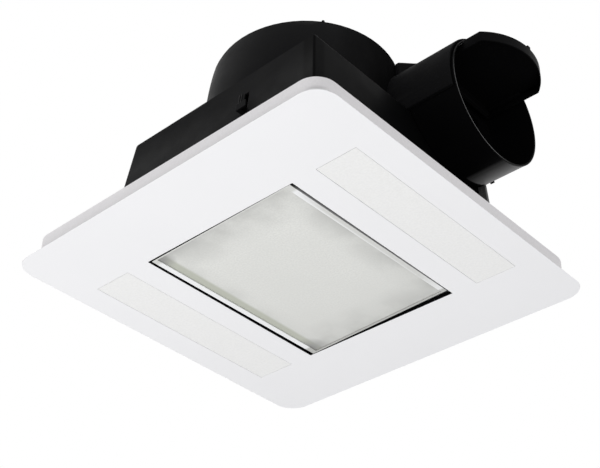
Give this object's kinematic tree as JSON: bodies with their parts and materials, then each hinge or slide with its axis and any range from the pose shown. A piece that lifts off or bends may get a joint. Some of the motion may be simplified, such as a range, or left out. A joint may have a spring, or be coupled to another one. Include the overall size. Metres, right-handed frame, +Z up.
{
  "type": "bathroom ceiling heater",
  "caption": "Square ceiling unit with a frosted heater window, light strips on both sides, and a black fan housing above with a side duct spigot and damper flap.",
  "frame": {"origin": "centre of the unit in the ceiling plane, at the back face of the ceiling frame", "axes": "+Z up into the ceiling, +X the way the duct leaves, -Z towards the room"},
  "size_m": [0.4505, 0.42, 0.2658],
  "materials": {
    "fascia_white": "satin moulded",
    "frame_white": "satin moulded",
    "diffuser": "opal, fine texture",
    "frosted_glass": "frosted",
    "bright_metal": "bright rolled",
    "steel": "zinc plated",
    "motor_steel": "painted",
    "black_plastic": "moulded, low sheen",
    "grey_plastic": "moulded",
    "terminal_plastic": "moulded",
    "ceramic": "unglazed",
    "quartz": "clear, warm tint",
    "circuit_board": "solder mask"
  },
  "bodies": {
    "unit": {"ceiling_frame": "frame_white", "housing": "black_plastic", "housing_screw_1": "steel", "housing_screw_2": "steel", "housing_screw_3": "steel", "housing_screw_4": "steel", "clamp_screw_near": "steel", "clamp_screw_far": "steel", "spring_socket_1": "grey_plastic", "spring_socket_2": "grey_plastic", "spring_socket_3": "grey_plastic", "spring_socket_4": "grey_plastic", "heater_bezel": "bright_metal", "heater_glass": "frosted_glass", "heater_reflector": "bright_metal", "heating_tube_1": "quartz", "heating_tube_2": "quartz", "tube_holder_1": "ceramic", "tube_holder_2": "ceramic", "tube_holder_3": "ceramic", "tube_holder_4": "ceramic", "thermal_cutout": "black_plastic", "heater_bracket_left": "steel", "heater_bracket_right": "steel", "scroll_housing": "black_plastic", "scroll_lid": "black_plastic", "lid_screw_1": "steel", "lid_screw_2": "steel", "lid_screw_3": "steel", "motor_screw_1": "steel", "motor_screw_2": "steel", "motor_screw_3": "steel", "inlet_ring": "black_plastic", "fan_motor": "motor_steel", "outlet_spigot": "black_plastic", "terminal_box": "black_plastic", "terminal_hinge_pin": "steel", "terminal_block": "terminal_plastic", "cable_gland": "grey_plastic", "led_driver": "fascia_white", "motor_capacitor": "grey_plastic"},
    "fascia": {"fascia_plate": "fascia_white", "light_diffuser_left": "diffuser", "light_diffuser_right": "diffuser", "led_tray_left": "frame_white", "led_tray_right": "frame_white", "led_board_left": "circuit_board", "led_board_right": "circuit_board", "spring_leg_1": "steel", "spring_leg_2": "steel", "spring_leg_3": "steel", "spring_leg_4": "steel"},
    "fan_wheel": {"impeller": "black_plastic", "motor_shaft": "steel", "impeller_nut": "steel"},
    "damper": {"damper_flap": "black_plastic", "damper_pin": "steel"},
    "clamp_near": {"ceiling_clamp_near": "black_plastic"},
    "clamp_far": {"ceiling_clamp_far": "black_plastic"},
    "cover": {"terminal_cover": "black_plastic"}
  },
  "joints": [
    {"name": "fascia_drop", "type": "slide", "parent": "unit", "child": "fascia", "axis": [0, 0, -1], "range_m": [0, 0.06]},
    {"name": "fan_spin", "type": "hinge", "parent": "unit", "child": "fan_wheel", "pos_m": [0, 0, 0.17], "axis": [0, 0, 1], "continuous": true},
    {"name": "damper_swing", "type": "hinge", "parent": "unit", "child": "damper", "pos_m": [0.1476, 0.0898, 0.20075], "axis": [0, 1, 0], "range_deg": [0, 88]},
    {"name": "clamp_near_slide", "type": "slide", "parent": "unit", "child": "clamp_near", "axis": [0, 0, 1], "range_m": [-0.062, 0.02]},
    {"name": "clamp_far_slide", "type": "slide", "parent": "unit", "child": "clamp_far", "axis": [0, 0, 1], "range_m": [-0.062, 0.02]},
    {"name": "cover_swing", "type": "hinge", "parent": "unit", "child": "cover", "pos_m": [-0.17751, -0.01, 0.0246], "axis": [0, -1, 0], "range_deg": [0, 110]}
  ]
}
